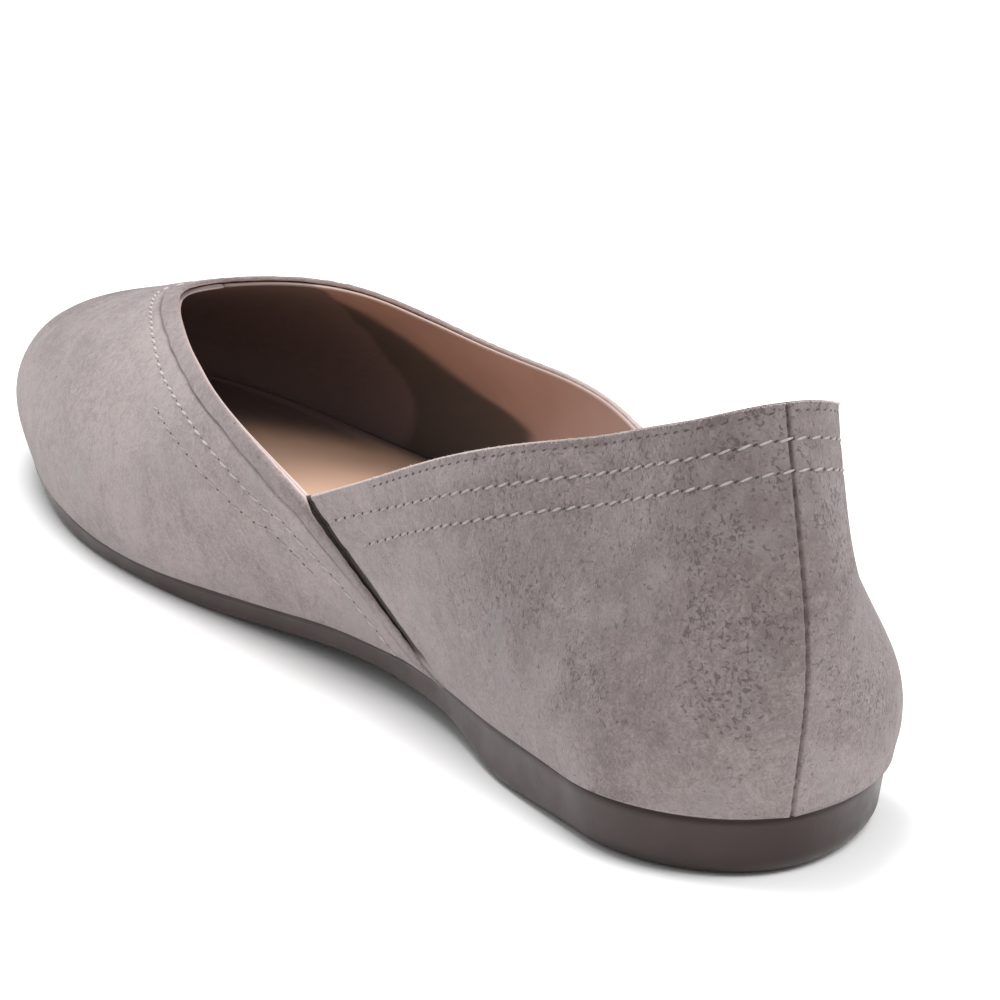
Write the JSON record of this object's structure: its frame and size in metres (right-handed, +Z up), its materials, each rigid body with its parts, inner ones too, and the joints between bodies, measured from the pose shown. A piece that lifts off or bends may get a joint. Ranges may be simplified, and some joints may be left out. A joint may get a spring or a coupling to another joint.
{
  "type": "ballet flat",
  "caption": "Right women's ballet flat with an almond toe, a V-notch at each side where the vamp laps over the quarter, a thin rubber sole and a low wedge heel.",
  "frame": {"origin": "on the floor, at the middle of the heel's flat tread", "axes": "+Z up, the toe towards -Y, the inner (medial) side of the right foot towards +X"},
  "size_m": [0.0763, 0.2518, 0.0702],
  "materials": {
    "upper": "clouded grey-taupe nubuck",
    "lining": "smooth matte lining leather",
    "insole": "smooth tan sock leather",
    "thread": "matte sewing thread",
    "outsole": "satin moulded rubber"
  },
  "bodies": {
    "root": {"upper": "upper", "outsole": "outsole", "insole": "insole"}
  },
  "joints": []
}
